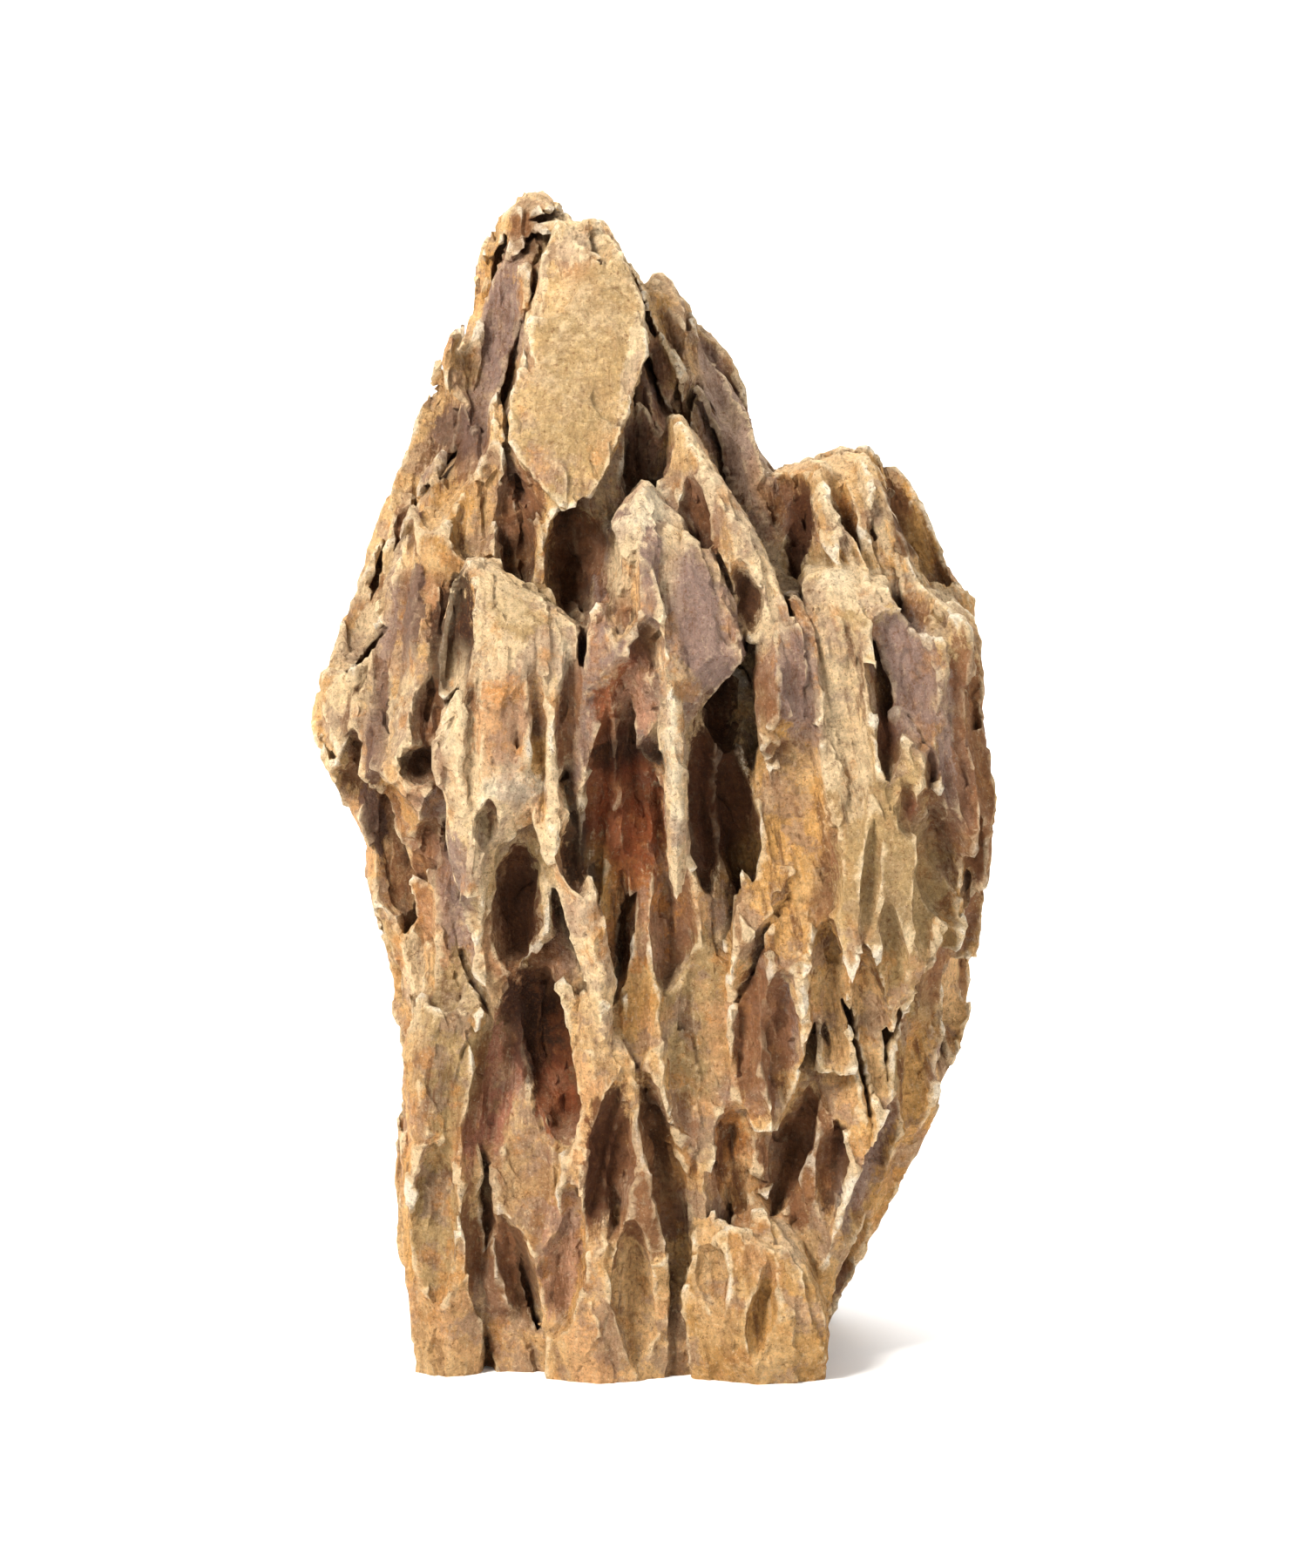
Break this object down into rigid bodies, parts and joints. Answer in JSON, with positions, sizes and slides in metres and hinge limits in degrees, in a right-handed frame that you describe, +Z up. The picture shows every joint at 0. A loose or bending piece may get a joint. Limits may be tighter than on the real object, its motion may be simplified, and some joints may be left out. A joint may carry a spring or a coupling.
{
  "type": "aquarium dragon stone",
  "caption": "Upright aquascaping rock with a leaning peak, a lower shoulder, flame-shaped tongues, sharp ridges and deep scooped hollows, on a flat underside.",
  "frame": {"origin": "on the ground, at the centre of the box round the stone seen from above", "axes": "+Z up, along the stone's height; the face shown in the picture looks towards -Y; +X to the right in that view"},
  "size_m": [0.1206, 0.0916, 0.2046],
  "materials": {
    "stone": "dry weathered ochre stone, cream ridges, rust and dark brown hollows, mauve-grey faces"
  },
  "bodies": {
    "root": {"dragon_stone": "stone"}
  },
  "joints": []
}
